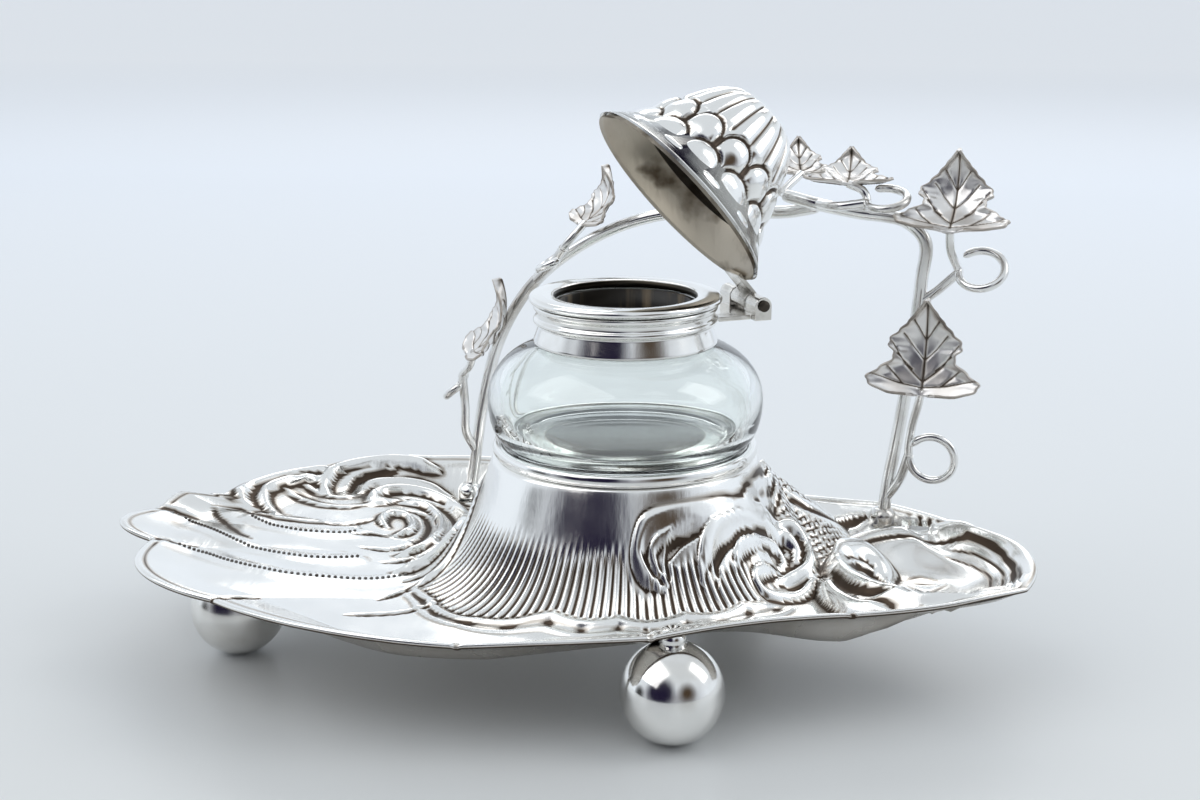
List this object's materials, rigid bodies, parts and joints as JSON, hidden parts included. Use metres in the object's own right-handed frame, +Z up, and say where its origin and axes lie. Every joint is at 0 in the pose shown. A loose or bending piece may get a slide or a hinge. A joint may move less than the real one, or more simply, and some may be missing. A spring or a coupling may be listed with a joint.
{
  "type": "silver inkwell",
  "caption": "Table inkwell: lobed silver tray on ball feet, loose glass well with a hinged bell lid, small side dish, ivy arch behind.",
  "frame": {"origin": "middle of the bounding box, on the table", "axes": "+Z up, +X along the tray towards the small dish, +Y towards the ivy arch at the back"},
  "size_m": [0.2108, 0.1146, 0.1279],
  "materials": {
    "chased_silver": "chased silver sheet, dark in the hollows",
    "polished_silver": "polished silver",
    "embossed_silver": "embossed silver, dark in the hollows",
    "silver_wire": "drawn silver wire",
    "leaf_silver": "stamped silver with engraved veins",
    "dark_pin": "worn pin",
    "clear_glass": "clear blown glass, faintly green",
    "cement": "white plaster cement"
  },
  "bodies": {
    "base": {"tray": "chased_silver", "foot_front": "polished_silver", "foot_left": "polished_silver", "foot_back": "polished_silver", "seat_ring": "polished_silver", "stem_left": "silver_wire", "stem_right": "silver_wire", "socket_left": "silver_wire", "socket_right": "silver_wire", "branch_left_low": "silver_wire", "branch_left_high": "silver_wire", "branch_top": "silver_wire", "branch_right_high": "silver_wire", "branch_right_low": "silver_wire", "stalk_crown": "silver_wire", "tendril_left_low": "silver_wire", "tendril_left_high": "silver_wire", "tendril_top": "silver_wire", "tendril_right_high": "silver_wire", "tendril_right_low": "silver_wire", "leaf_left_low": "leaf_silver", "leaf_left_high": "leaf_silver", "leaf_top": "leaf_silver", "leaf_right_high": "leaf_silver", "leaf_right_low": "leaf_silver", "leaf_crown": "leaf_silver"},
    "well": {"glass_well": "clear_glass", "collar_cement": "cement", "collar": "polished_silver", "rim_plate": "polished_silver", "hinge_base_leaf": "polished_silver", "hinge_pin": "dark_pin"},
    "lid": {"hinge_lid_leaf": "polished_silver", "lid_bell": "embossed_silver"}
  },
  "joints": [
    {"name": "well_lift", "type": "slide", "parent": "base", "child": "well", "axis": [0, 0, 1], "range_m": [0, 0.02]},
    {"name": "lid_hinge", "type": "hinge", "parent": "well", "child": "lid", "pos_m": [0.04024, 0.01816, 0.0802], "axis": [-0.4695, 0.8829, 0], "range_deg": [-50, 10]}
  ]
}
